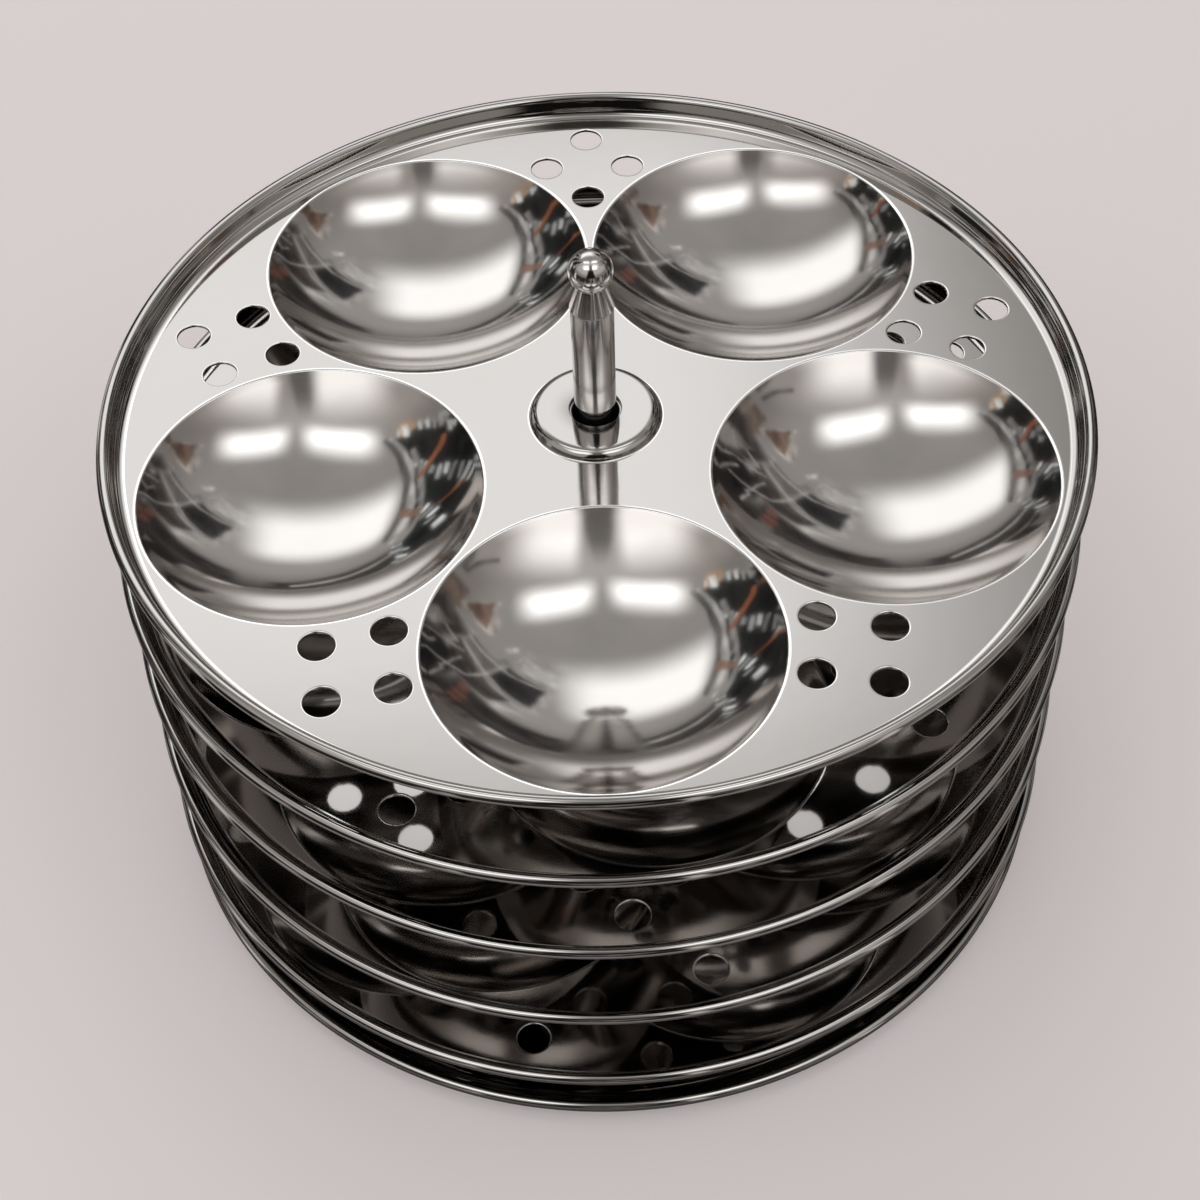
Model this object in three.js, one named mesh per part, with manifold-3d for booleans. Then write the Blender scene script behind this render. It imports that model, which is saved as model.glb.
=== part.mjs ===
// Stacking idli steamer stand: five cupped plates and their spacer tubes drop over a rod that is
// bolted to a plain tray and topped by a turned handle. Millimetres, +Z up, and the origin is the
// centre of the tray's underside, where the stand meets the table.

import * as THREE from 'three';
import { mergeVertices } from 'three/addons/utils/BufferGeometryUtils.js';
import Module from 'manifold-3d';

const wasm = await Module();
wasm.setup();

// Pressed sheet
const sheetThickness = 0.8;
const curlDepth = 2.2; // how far the rolled rim stands out past the wall

// Cups
const cupsPerPlate = 5;
const cupDiameter = 79;
const cupDepth = 15;
const cupWeb = 1.88; // flat left between neighbouring cups

// Plates
const plateTurnsDegrees = [0, 9, 38.5, -23.2, 24.5]; // how each plate stands turned, top one first
const rimHeight = 5.7; // top of the rolled rim over the flat
const rimCornerRadius = 2.5; // bend between the flat and the wall, inside
const rimMargin = 1.2; // flat left between a cup and that bend
const headroom = 12.4; // room over a flat, up to the cups of the plate above

// Steam vents, four in a diamond between neighbouring cups
const ventDiameter = 8;
const ventInnerSetback = 23.1; // the inner vent, in from the diamond's outer vent
const ventSideSetback = 11.2; // the side vents, in from the outer vent
const ventSideSpread = 10.4; // the side vents, to each side of the diamond's middle
const ventRimDistance = 10.5; // the outer vent's middle, in from the wall

// Raised hub in the middle of every pressing
const hubRise = 2.3;
const hubLand = 5.8; // flat of the hub that shows round a spacer tube
const hubEdgeRadius = 2; // rounded shoulder of the hub, inside

// Tray under the stack
const trayRimHeight = 8.1;
const trayInset = 0.75; // how much smaller the tray is than a plate, all round
const trayWallLean = 3; // the wall's foot, in from its top
const trayCornerRadius = 3;
const trayHubShoulder = 3.2; // rounded shoulder of the taller hub, inside
const cupClearance = 1.4; // between the lowest cups and the tray's floor

// Spacer tubes
const spacerWall = 1.5;
const spacerBearing = 0.95; // how far a tube's edge reaches past the plate's hole

// Rod with its foot
const rodDiameter = 8;
const shoulderWidth = 1.5; // step from the rod to its threaded ends, all round
const threadClearance = 0.15;
const washerThickness = 1;
const washerReach = 2.5; // the washer, out past the threaded end
const nutHeight = 2.7;
const nutReach = 1.5; // the nut's flats, out past the threaded end
const studTip = 0.6; // threaded end that shows past the nut
const floorClearance = 0.7; // between that end and the table

// Handle and its ball
const handleDiameter = 9.8;
const handleLength = 29.2;
const handleLift = 2.3; // daylight between the top hub and the handle
const handleChamfer = 0.4;
const lipHeight = 0.15; // sharp edge round the foot of the cone, over the seam
const lipReach = 0.2; // that edge, out past the handle
const coneHeight = 5.95;
const neckDiameter = 6.2;
const ballDiameter = 10.2;
const boreTipClearance = 0.3;
const engagementShare = 0.5; // how far up the cone the thread reaches

// Fits
const liftClearance = 0.95; // between a plate's hole and the widest part of the handle
const tubeClearance = 0.4; // the same inside a spacer tube
const seatGap = 0.3; // between pieces that rest on each other and lift apart
const cutOverrun = 2; // how far every cutter runs past what it cuts

// Steps round a circle
const plateSteps = 28;
const cupSteps = 18;
const ventSteps = 8;
const tubeSteps = 16;
const nutSides = 6;

// Worked out from the sizes above
const turn = 2 * Math.PI;
const cupRadius = cupDiameter / 2;
const cupStep = turn / cupsPerPlate;
const cupPitchRadius = (cupRadius + cupWeb / 2) / Math.sin(cupStep / 2);
const plateWallRadius = cupPitchRadius + cupRadius + rimMargin + rimCornerRadius;
const beadDiameter = sheetThickness + curlDepth;
const plateRadius = plateWallRadius + beadDiameter;
const ventRadius = ventDiameter / 2;
const ventOuterRadius = plateWallRadius - ventRimDistance;

const ballRadius = ballDiameter / 2;
const lipRadius = handleDiameter / 2 + lipReach;
const rodRadius = rodDiameter / 2;
const widestRadius = Math.max(ballRadius, lipRadius, rodRadius);
const hubHoleRadius = widestRadius + liftClearance;
const spacerBoreRadius = widestRadius + tubeClearance;
const spacerRadius = Math.max(hubHoleRadius + spacerBearing, spacerBoreRadius + spacerWall);
const hubTopRadius = spacerRadius + hubLand;
const studRadius = rodRadius - shoulderWidth;
const studHoleRadius = studRadius + threadClearance;

const plateCount = plateTurnsDegrees.length;
const plateSpacing = cupDepth + sheetThickness + headroom;
const trayHubRise = washerThickness + nutHeight + studTip + floorClearance;
const trayHubTop = sheetThickness + trayHubRise;
const lowestFlat = sheetThickness + cupClearance + sheetThickness + cupDepth;
const topFlat = lowestFlat + (plateCount - 1) * plateSpacing;
const handleFoot = topFlat + hubRise + handleLift;
const seam = handleFoot + handleLength;
const threadReach = lipHeight + coneHeight * engagementShare;
const studEnd = seam + threadReach;

// Height of a plate's flat over the table, with the top plate as number 0.
const flatHeight = (plate) => topFlat - plate * plateSpacing;

const point = (radius, height) => new THREE.Vector2(radius, height);

// Points along an arc or a quarter of an ellipse, from one angle to another.
function arc(centre, reach, rise, fromDegrees, toDegrees, steps) {
  return Array.from({ length: steps + 1 }, (_, i) => {
    const angle = THREE.MathUtils.degToRad(fromDegrees + ((toDegrees - fromDegrees) * i) / steps);
    return point(centre.x + reach * Math.cos(angle), centre.y + rise * Math.sin(angle));
  });
}

// Vertices merged, and the slivers that a turned profile leaves on its axis taken out.
function welded(geometry) {
  geometry.deleteAttribute('normal');
  geometry.deleteAttribute('uv');
  const merged = mergeVertices(geometry);
  const corners = merged.index.array;
  const kept = [];
  for (let i = 0; i < corners.length; i += 3) {
    const [a, b, c] = corners.subarray(i, i + 3);
    if (a !== b && b !== c && c !== a) kept.push(a, b, c);
  }
  merged.setIndex(kept);
  return merged;
}

// A profile of radii and heights, counter-clockwise, turned about Z.
function turned(profile, steps) {
  return welded(new THREE.LatheGeometry(profile, steps).rotateX(Math.PI / 2));
}

// The same for a ring, whose profile closes on itself.
const turnedRing = (profile, steps) => turned([...profile, profile[0].clone()], steps);

function asSolid(geometry) {
  const mesh = new wasm.Mesh({
    numProp: 3,
    vertProperties: new Float32Array(geometry.attributes.position.array),
    triVerts: new Uint32Array(geometry.index.array),
  });
  return new wasm.Manifold(mesh);
}

function asGeometry(solid) {
  const mesh = solid.getMesh();
  const geometry = new THREE.BufferGeometry();
  geometry.setAttribute('position', new THREE.BufferAttribute(mesh.vertProperties, 3));
  geometry.setIndex(new THREE.BufferAttribute(mesh.triVerts, 1));
  return geometry;
}

// One pressing before its cups and vents: a raised hub with a hole, a flat whose top is height zero,
// and a wall that ends in a rolled rim.
function pressing({ holeRadius, rise, shoulder, wallRadius, lean, corner, height }) {
  const shoulderReach = shoulder + sheetThickness;
  const footRadius = wallRadius - lean;
  const bend = point(footRadius - corner, corner);
  const beadRadius = beadDiameter / 2;
  const bead = point(wallRadius + beadRadius, height - beadRadius);
  const outerWall = sheetThickness - beadRadius;
  const curlStart = -THREE.MathUtils.radToDeg(Math.acos(outerWall / beadRadius));
  const underHub = arc(point(hubTopRadius, -sheetThickness), shoulder, rise, 90, 0, 2);
  const underBend = arc(bend, corner + sheetThickness, corner + sheetThickness, -90, 0, 2);
  const curl = arc(bead, beadRadius, beadRadius, curlStart, 180, 5);
  const insideBend = arc(bend, corner, corner, 0, -90, 2);
  const overHub = arc(point(hubTopRadius, 0), shoulderReach, rise, 0, 90, 2);
  return turnedRing(
    [
      point(holeRadius, rise - sheetThickness),
      ...underHub,
      ...underBend,
      ...curl,
      ...insideBend,
      ...overHub,
      point(holeRadius, rise),
    ],
    plateSteps,
  );
}

// A shallow bowl as a solid, from its pole up to a level, and straight up from there.
function bowl(reach, depth, level, top) {
  const start = THREE.MathUtils.radToDeg(Math.acos((reach - depth - level) / reach));
  const centre = point(0, reach - depth);
  const wall = arc(centre, reach, reach, -90, start - 90, 3);
  wall[0].x = 0;
  const rim = wall[wall.length - 1];
  const column = top > rim.y ? [point(rim.x, top)] : [];
  return turned([...wall, ...column, point(0, Math.max(top, rim.y))], cupSteps);
}

const aroundMiddle = (geometry, radius, sideways, angle) =>
  geometry.clone().translate(radius, sideways, 0).rotateZ(angle);

function idliPlate() {
  const reach = (cupRadius ** 2 + cupDepth ** 2) / (2 * cupDepth);
  const middleOfSheet = -sheetThickness / 2;
  const outside = bowl(reach + sheetThickness, cupDepth + sheetThickness, middleOfSheet, middleOfSheet);
  const inside = bowl(reach, cupDepth, 0, cutOverrun);
  const vent = turned(
    [
      point(0, -sheetThickness - cutOverrun),
      point(ventRadius, -sheetThickness - cutOverrun),
      point(ventRadius, cutOverrun),
      point(0, cutOverrun),
    ],
    ventSteps,
  );
  const vents = [
    [ventOuterRadius, 0],
    [ventOuterRadius - ventSideSetback, ventSideSpread],
    [ventOuterRadius - ventSideSetback, -ventSideSpread],
    [ventOuterRadius - ventInnerSetback, 0],
  ];
  const cupAngles = Array.from({ length: cupsPerPlate }, (_, i) => i * cupStep - Math.PI / 2);

  let plate = asSolid(
    pressing({
      holeRadius: hubHoleRadius,
      rise: hubRise,
      shoulder: hubEdgeRadius,
      wallRadius: plateWallRadius,
      lean: 0,
      corner: rimCornerRadius,
      height: rimHeight,
    }),
  );
  for (const angle of cupAngles) plate = plate.add(asSolid(aroundMiddle(outside, cupPitchRadius, 0, angle)));
  for (const angle of cupAngles) {
    plate = plate.subtract(asSolid(aroundMiddle(inside, cupPitchRadius, 0, angle)));
    for (const [radius, sideways] of vents) {
      plate = plate.subtract(asSolid(aroundMiddle(vent, radius, sideways, angle + cupStep / 2)));
    }
  }
  return asGeometry(plate);
}

function basePlate() {
  return pressing({
    holeRadius: studHoleRadius,
    rise: trayHubRise,
    shoulder: trayHubShoulder,
    wallRadius: plateRadius - trayInset - beadDiameter,
    lean: trayWallLean,
    corner: trayCornerRadius,
    height: trayRimHeight,
  });
}

function tube(boreRadius, radius, length) {
  return turnedRing(
    [point(boreRadius, 0), point(radius, 0), point(radius, length), point(boreRadius, length)],
    tubeSteps,
  );
}

// The rod stands on the tray's hub. Its thinner ends take the nut below and the handle above.
function rod() {
  return turned(
    [
      point(0, floorClearance),
      point(studRadius, floorClearance),
      point(studRadius, trayHubTop),
      point(rodRadius, trayHubTop),
      point(rodRadius, handleFoot),
      point(studRadius, handleFoot),
      point(studRadius, studEnd),
      point(0, studEnd),
    ],
    tubeSteps,
  );
}

function handle() {
  const radius = handleDiameter / 2;
  return turnedRing(
    [
      point(studHoleRadius, 0),
      point(radius - handleChamfer, 0),
      point(radius, handleChamfer),
      point(radius, handleLength),
      point(studHoleRadius, handleLength),
    ],
    tubeSteps,
  );
}

// Cone, neck and ball, with a blind bore for the rod's end.
function knob() {
  const boreTop = threadReach + boreTipClearance;
  const neckRadius = neckDiameter / 2;
  const neckHeight = lipHeight + coneHeight;
  const neckSink = Math.sqrt(ballRadius ** 2 - neckRadius ** 2);
  const ballCentre = point(0, neckHeight + neckSink);
  const neckDegrees = -THREE.MathUtils.radToDeg(Math.atan2(neckSink, neckRadius));
  const ball = arc(ballCentre, ballRadius, ballRadius, neckDegrees, 90, 7);
  ball[ball.length - 1].x = 0;
  return turned(
    [
      point(0, boreTop),
      point(studHoleRadius, boreTop),
      point(studHoleRadius, 0),
      point(handleDiameter / 2, 0),
      point(lipRadius, lipHeight),
      ...ball,
    ],
    tubeSteps,
  );
}

function nut() {
  const corner = (studRadius + nutReach) / Math.cos(Math.PI / nutSides);
  const outline = new THREE.Shape(
    Array.from({ length: nutSides }, (_, i) => {
      const angle = (i * turn) / nutSides;
      return point(corner * Math.cos(angle), corner * Math.sin(angle));
    }),
  );
  outline.holes.push(new THREE.Path().absarc(0, 0, studHoleRadius, 0, turn, true));
  const block = new THREE.ExtrudeGeometry(outline, { depth: nutHeight, bevelEnabled: false, curveSegments: 8 });
  return welded(block);
}

const steel = (name, color, roughness) => new THREE.MeshStandardMaterial({ name, color, roughness, metalness: 1 });
const satin = () => steel('satin_steel', 0xd2cfcc, 0.28);
const polished = () => steel('polished_steel', 0xdad7d4, 0.12);
const plain = () => steel('plain_steel', 0xb9b7b5, 0.4);

const steamer = new THREE.Group();

function place(parent, name, geometry, material, height) {
  const mesh = new THREE.Mesh(geometry, material);
  mesh.name = name;
  mesh.position.z = height;
  parent.add(mesh);
}

place(steamer, 'base_plate', basePlate(), satin(), sheetThickness);
place(steamer, 'foot_washer', tube(studHoleRadius, studRadius + washerReach, washerThickness), plain(),
  trayHubRise - washerThickness);
place(steamer, 'foot_nut', nut(), plain(), trayHubRise - washerThickness - nutHeight);
place(steamer, 'centre_rod', rod(), polished(), 0);
place(steamer, 'handle_sleeve', handle(), polished(), handleFoot);
place(steamer, 'handle_knob', knob(), polished(), seam);

// A tier is one plate and the tube that carries it.
const plateShape = idliPlate();
plateTurnsDegrees.forEach((degrees, plate) => {
  const tier = new THREE.Group();
  tier.position.z = flatHeight(plate);
  tier.rotation.z = THREE.MathUtils.degToRad(degrees);
  const isLowest = plate === plateCount - 1;
  const hubBelow = isLowest ? trayHubTop : flatHeight(plate + 1) + hubRise;
  const tubeTop = hubRise - sheetThickness - seatGap;
  const tubeFoot = hubBelow - flatHeight(plate) + seatGap;
  place(tier, `idli_plate_${plate + 1}`, plateShape, satin(), 0);
  place(tier, `spacer_tube_${plate + 1}`, tube(spacerBoreRadius, spacerRadius, tubeTop - tubeFoot), plain(),
    tubeFoot);
  steamer.add(tier);
});

export default steamer;
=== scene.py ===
"""Stacking idli steamer stand: its pieces, finishes and stage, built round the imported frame.

Lengths are in metres and heights are over the table, unless a comment says otherwise.
"""

import math
import random

import bpy
from mathutils import Matrix, Vector, noise


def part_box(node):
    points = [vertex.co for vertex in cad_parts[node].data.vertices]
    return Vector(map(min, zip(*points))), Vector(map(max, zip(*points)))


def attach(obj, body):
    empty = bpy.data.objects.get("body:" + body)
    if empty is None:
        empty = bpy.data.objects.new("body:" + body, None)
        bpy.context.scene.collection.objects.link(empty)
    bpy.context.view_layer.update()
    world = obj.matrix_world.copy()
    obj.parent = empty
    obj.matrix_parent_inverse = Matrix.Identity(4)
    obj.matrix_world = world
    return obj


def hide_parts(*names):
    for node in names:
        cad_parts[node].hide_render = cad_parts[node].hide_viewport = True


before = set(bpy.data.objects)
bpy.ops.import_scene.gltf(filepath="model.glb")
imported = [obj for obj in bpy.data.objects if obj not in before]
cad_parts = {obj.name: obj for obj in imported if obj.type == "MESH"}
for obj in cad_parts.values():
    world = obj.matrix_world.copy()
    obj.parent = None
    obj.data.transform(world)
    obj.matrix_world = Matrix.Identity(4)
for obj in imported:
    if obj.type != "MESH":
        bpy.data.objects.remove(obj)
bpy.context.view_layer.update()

bl_info = {
    "name": "Idli Steamer Stand",
    "version": (1, 0, 0),
    "blender": (4, 5, 0),
    "location": "3D View > Sidebar > Idli Steamer",
    "description": "Builds a stacking idli steamer stand, its steel finishes and a studio stage",
    "category": "Add Mesh",
}

MM = 0.001
TURN = 2 * math.pi
PLATE_COUNT = 5
MERGE_REACH = 0.002 * MM
RIM_STEPS = 240
CUP_STEPS = 96
HUB_STEPS = 72
VENT_STEPS = 48
ROD_STEPS = 96
DARKER_EDGE_RADII = (27 * MM, 38 * MM)  # where a cup's steel darkens towards its edge
RIM_RADII = (109 * MM, 110 * MM)  # where the rim's finer polish starts
UNDER_SHADE_RADII = (111 * MM, 109 * MM)  # where the painted shade and duller finish of the underside end, short of the rim
CUP_POLISH = (-0.1 * MM, -0.5 * MM)  # heights, from the flat, where a cup's polish starts
CURL_STEPS = 28
CORNER_STEPS = 9
BOWL_STEPS = 26
VENT_COLLAR = 2.5  # width of the ring round a vent, in supports
PLATE_EDGE = 0.22 * MM
TRAY_EDGE = 0.14 * MM
PLATE_CURL_END = math.radians(-112)
TRAY_CURL_END = math.radians(-125)
TRAY_SEED = 9
SUPPORT = 0.2 * MM  # narrow ring of faces that keeps a bend's shading apart from a flat
TUBE_WALL = 1.5 * MM
TUBE_EDGE = 0.25 * MM
ROD_EDGE = 0.2 * MM
STUD_CHAMFER = 0.3 * MM
STUD_ROOM = 0.3 * MM  # over the rod in the knob's bore
SLEEVE_EDGES = (0.2 * MM, 0.12 * MM)  # round edges, in the bore's foot and round the top
LIP_EDGES = (0.05 * MM, 0.06 * MM)  # round edges under and on the lip of the cone
SEAM_LINE = (0.26 * MM, 0.1 * MM)  # how far the dark line at the seam reaches, and its full part
WASHER_EDGES = (0.1 * MM, 0.2 * MM)  # round edges, in the bore and outside
NUT_CHAMFER = 0.3 * MM
NUT_CROWN = 0.1 * MM  # how far in from its flats the nut's round faces end

# Painted highlights along edges: how far out from its edge each lies, and how far it reaches each
# way
CUP_HIGHLIGHT = (0.2 * MM, 0.5 * MM)
VENT_HIGHLIGHT = (0.1 * MM, 0.3 * MM)
HUB_HIGHLIGHT = (2.85 * MM, 0.3 * MM)
WALL_HIGHLIGHT = (0.0, 0.35 * MM)

# How deep the fine lines of each finish are
PRESSED_LINES = 0.004 * MM
TURNED_LINES = 0.003 * MM
DRAWN_LINES = 0.01 * MM


# Node trees

class Wire:
    """A node's output, on which sums and products add Math nodes."""

    def __init__(self, graph, node, output=0):
        self.graph = graph
        self.node = node
        self.socket = node.outputs[output]

    def output(self, name):
        return Wire(self.graph, self.node, name)

    def __add__(self, other):
        return self.graph.maths("ADD", self, other)

    def __sub__(self, other):
        return self.graph.maths("SUBTRACT", self, other)

    def __rsub__(self, other):
        return self.graph.maths("SUBTRACT", other, self)

    def __mul__(self, other):
        return self.graph.maths("MULTIPLY", self, other)

    def __truediv__(self, other):
        return self.graph.maths("DIVIDE", self, other)

    def __rtruediv__(self, other):
        return self.graph.maths("DIVIDE", other, self)

    def __neg__(self):
        return self.graph.maths("MULTIPLY", self, -1)

    __radd__ = __add__
    __rmul__ = __mul__


class Graph:
    """A node tree that is written as expressions."""

    def __init__(self, tree):
        self.tree = tree
        self.inputs = None

    def node(self, kind, inputs=None, settings=None, output=0):
        """Adds a node of a kind. inputs gives its sockets values or wires."""
        node = self.tree.nodes.new(kind)
        for name, value in (settings or {}).items():
            setattr(node, name, value)
        for name, value in (inputs or {}).items():
            for part in value if isinstance(value, list) else [value]:
                if isinstance(part, Wire):
                    self.tree.links.new(part.socket, node.inputs[name])
                else:
                    node.inputs[name].default_value = part
        return Wire(self, node, output) if node.outputs else node

    def maths(self, operation, *values):
        return self.node("ShaderNodeMath", dict(enumerate(values)), {"operation": operation})

    def vector(self, x=0.0, y=0.0, z=0.0):
        return self.node("ShaderNodeCombineXYZ", {"X": x, "Y": y, "Z": z})

    def parts(self, vector):
        split = self.node("ShaderNodeSeparateXYZ", {0: vector})
        return split, split.output("Y"), split.output("Z")

    def blend(self, low, high, value, start=0.0, end=1.0):
        """A smooth step of a value, from start at low to end at high."""
        return self.node(
            "ShaderNodeMapRange",
            {"Value": value, "From Min": low, "From Max": high, "To Min": start, "To Max": end},
            {"interpolation_type": "SMOOTHSTEP"},
        )

    def mix(self, share, first, second):
        """Two colours mixed by a share of the second."""
        return self.node(
            "ShaderNodeMix", {0: share, 6: first, 7: second}, {"data_type": "RGBA"}, output=2
        )

    def scale(self, colour, level):
        inputs = {0: colour, "Scale": level}
        return self.node("ShaderNodeVectorMath", inputs, {"operation": "SCALE"})

    def place(self, kind="Object"):
        return self.node("ShaderNodeTexCoord", output=kind)

    def cos(self, angle):
        return self.maths("COSINE", angle)

    def sin(self, angle):
        return self.maths("SINE", angle)

    def show(self, surface):
        self.node("ShaderNodeOutputMaterial", {"Surface": surface})

    def distance(self, x, y):
        return self.maths("SQRT", x * x + y * y)

    def noise(self, place, scale, detail=2.0, roughness=0.5):
        return self.node(
            "ShaderNodeTexNoise",
            {"Vector": place, "Scale": scale, "Detail": detail, "Roughness": roughness},
        )


def new_material(name):
    """An empty material and the graph that fills it."""
    material = bpy.data.materials.new(name)
    material.use_nodes = True
    material.node_tree.nodes.clear()
    return material, Graph(material.node_tree)


def geometry_graph(name, sizes):
    """A Geometry Nodes tree with named inputs, given as name: (socket type, default)."""
    tree = bpy.data.node_groups.new(name, "GeometryNodeTree")
    tree.interface.new_socket("Geometry", in_out="OUTPUT", socket_type="NodeSocketGeometry")
    for label, (kind, default) in sizes.items():
        socket = tree.interface.new_socket(label, in_out="INPUT", socket_type="NodeSocket" + kind)
        if default is not None:
            socket.default_value = default
    graph = Graph(tree)
    graph.inputs = graph.node("NodeGroupInput")
    return graph


def turned_group(name, sizes, place):
    """A group that turns a line or arc about Z into rings of faces.

    place gives radius and height from the inputs and the share of the way along the profile."""
    graph = geometry_graph(name, {**sizes, "Steps": ("Int", 1), "Around": ("Int", 96)})
    value = graph.inputs.output
    grid = graph.node(
        "GeometryNodeMeshGrid",
        {
            "Size X": 1.0,
            "Size Y": 1.0,
            "Vertices X": value("Around") + 1,
            "Vertices Y": value("Steps") + 1,
        },
    )
    across, along, _ = graph.parts(graph.node("GeometryNodeInputPosition"))
    angle = (across + 0.5) * TURN
    radius, height = place(graph, value, along + 0.5)
    spot = graph.vector(radius * graph.cos(angle), radius * graph.sin(angle), height)
    moved = graph.node("GeometryNodeSetPosition", {"Geometry": grid, "Position": spot})
    graph.node("NodeGroupOutput", {"Geometry": moved})
    return graph.tree


def arc_place(graph, value, share):
    angle = value("From Angle") + (value("To Angle") - value("From Angle")) * share
    radius = value("Centre Radius") + value("Arc Radius") * graph.cos(angle)
    height = value("Centre Height") + value("Arc Radius") * graph.sin(angle)
    return radius, height


def line_place(graph, value, share):
    radius = value("From Radius") + (value("To Radius") - value("From Radius")) * share
    height = value("From Height") + (value("To Height") - value("From Height")) * share
    return radius, height


def sheet_tree():
    """Geometry Nodes for a pressed steel sheet: hub, flat, cups, vents, wall and rolled rim.

    The tree makes the sheet's top surface, every profile running from outside to inside."""
    length = ("Float", 0.01)
    arc_sizes = dict.fromkeys(
        ("Centre Radius", "Centre Height", "Arc Radius", "From Angle", "To Angle"), length
    )
    line_sizes = dict.fromkeys(("From Radius", "From Height", "To Radius", "To Height"), length)
    arc_tree = turned_group("turned_arc", arc_sizes, arc_place)
    line_tree = turned_group("turned_line", line_sizes, line_place)
    names = (
        "Hub Hole", "Hub Top", "Hub Rise", "Hub Shoulder", "Hub Foot", "Wall Foot",
        "Corner Bend", "Bead Radius", "Bead Centre Radius", "Bead Centre Height", "Curl End",
        "Cup Radius", "Cup Depth", "Cup Edge", "Cup Pitch", "Vent Radius", "Vent Outer",
        "Vent Inner", "Vent Middle", "Vent Spread", "Support", "Turn", "Height",
    )
    graph = geometry_graph(
        "pressed_sheet",
        {**dict.fromkeys(names, length), "Cup Count": ("Int", 5), "Finish": ("Material", None)},
    )
    value = graph.inputs.output
    support = value("Support")

    def arc(centre, radius, start, end, steps, around):
        inputs = {
            "Centre Radius": centre[0], "Centre Height": centre[1], "Arc Radius": radius,
            "From Angle": start, "To Angle": end, "Steps": steps, "Around": around,
        }
        return graph.node("GeometryNodeGroup", inputs, {"node_tree": arc_tree})

    def line(start, end, around):
        inputs = {
            "From Radius": start[0], "From Height": start[1],
            "To Radius": end[0], "To Height": end[1],
            "Steps": 1, "Around": around,
        }
        return graph.node("GeometryNodeGroup", inputs, {"node_tree": line_tree})

    def moved(shape, x, y=0.0):
        inputs = {"Geometry": shape, "Translation": graph.vector(x, y)}
        return graph.node("GeometryNodeTransform", inputs)

    def circle(radius, steps, x=0.0, y=0.0):
        inputs = {"Resolution": steps, "Radius": radius}
        return moved(graph.node("GeometryNodeCurvePrimitiveCircle", inputs), x, y)

    def join(parts):
        return graph.node("GeometryNodeJoinGeometry", {"Geometry": parts})

    def around_middle(shape, first):
        """A shape repeated round the axis, once for each cup."""
        points = graph.node("GeometryNodePoints", {"Count": value("Cup Count")})
        number = graph.node("GeometryNodeInputIndex")
        angle = number * TURN / value("Cup Count") + first
        rotation = graph.node("FunctionNodeEulerToRotation", {0: graph.vector(z=angle)})
        inputs = {"Points": points, "Instance": shape, "Rotation": rotation}
        placed = graph.node("GeometryNodeInstanceOnPoints", inputs)
        return graph.node("GeometryNodeRealizeInstances", {0: placed})

    # Rolled rim, wall and corner. The wall is the line that touches both the corner and the bead.
    corner, bead = value("Corner Bend"), value("Bead Radius")
    corner_radius = value("Wall Foot") - corner
    run = value("Bead Centre Radius") - corner_radius
    climb = value("Bead Centre Height") - corner
    apart = graph.distance(run, climb)
    slope = graph.maths("ARCTAN2", climb, run) + graph.maths("ARCSINE", (corner + bead) / apart)
    touch = slope - TURN / 4
    foot = (corner_radius + corner * graph.cos(touch), corner + corner * graph.sin(touch))
    bead_centre = (value("Bead Centre Radius"), value("Bead Centre Height"))
    top = (bead_centre[0] - bead * graph.cos(touch), bead_centre[1] - bead * graph.sin(touch))
    curl = arc(bead_centre, bead, value("Curl End"), touch + TURN / 2, CURL_STEPS, RIM_STEPS)
    bend = arc((corner_radius, corner), corner, touch, -TURN / 4, CORNER_STEPS, RIM_STEPS)
    flat_radius = corner_radius - support
    rim = [curl, line(top, foot, RIM_STEPS), bend]
    rim.append(line((corner_radius, 0.0), (flat_radius, 0.0), RIM_STEPS))

    # Hub, from its foot bend over its shoulder to the hole.
    foot_bend, shoulder = value("Hub Foot"), value("Hub Shoulder")
    bends = shoulder + foot_bend
    sink = bends - value("Hub Rise")
    spread = graph.maths("SQRT", bends * bends - sink * sink)
    meet = graph.maths("ARCTAN2", sink, spread)
    hub_foot = value("Hub Top") + spread
    hub_edge = value("Hub Top") - support
    hub_rise = value("Hub Rise")
    hub = [
        line((hub_foot + support, 0.0), (hub_foot, 0.0), HUB_STEPS),
        arc((hub_foot, foot_bend), foot_bend, TURN * 3 / 4, meet + TURN / 2, 6, HUB_STEPS),
        arc((value("Hub Top"), hub_rise - shoulder), shoulder, meet, TURN / 4, 12, HUB_STEPS),
        line((value("Hub Top"), hub_rise), (hub_edge, hub_rise), HUB_STEPS),
        line((hub_edge, hub_rise), (value("Hub Hole"), hub_rise), HUB_STEPS),
    ]

    # Cups: a round edge that touches the flat and the bowl, which is part of a ball.
    depth, mouth, edge = value("Cup Depth"), value("Cup Radius"), value("Cup Edge")
    ball = (mouth * mouth + depth * depth) / (depth * 2)
    ball_height = ball - depth
    lip = graph.maths(
        "SQRT", (ball + edge) * (ball + edge) - (ball_height + edge) * (ball_height + edge)
    )
    lean = graph.maths("ARCTAN2", ball_height + edge, lip)
    cup = join([
        line((lip + support, 0.0), (lip, 0.0), CUP_STEPS),
        arc((lip, -edge), edge, TURN / 4, TURN / 2 - lean, 5, CUP_STEPS),
        arc((0.0, ball_height), ball, -lean, -TURN / 4, BOWL_STEPS, CUP_STEPS),
    ])
    cups = around_middle(moved(cup, value("Cup Pitch")), -TURN / 4)

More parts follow.
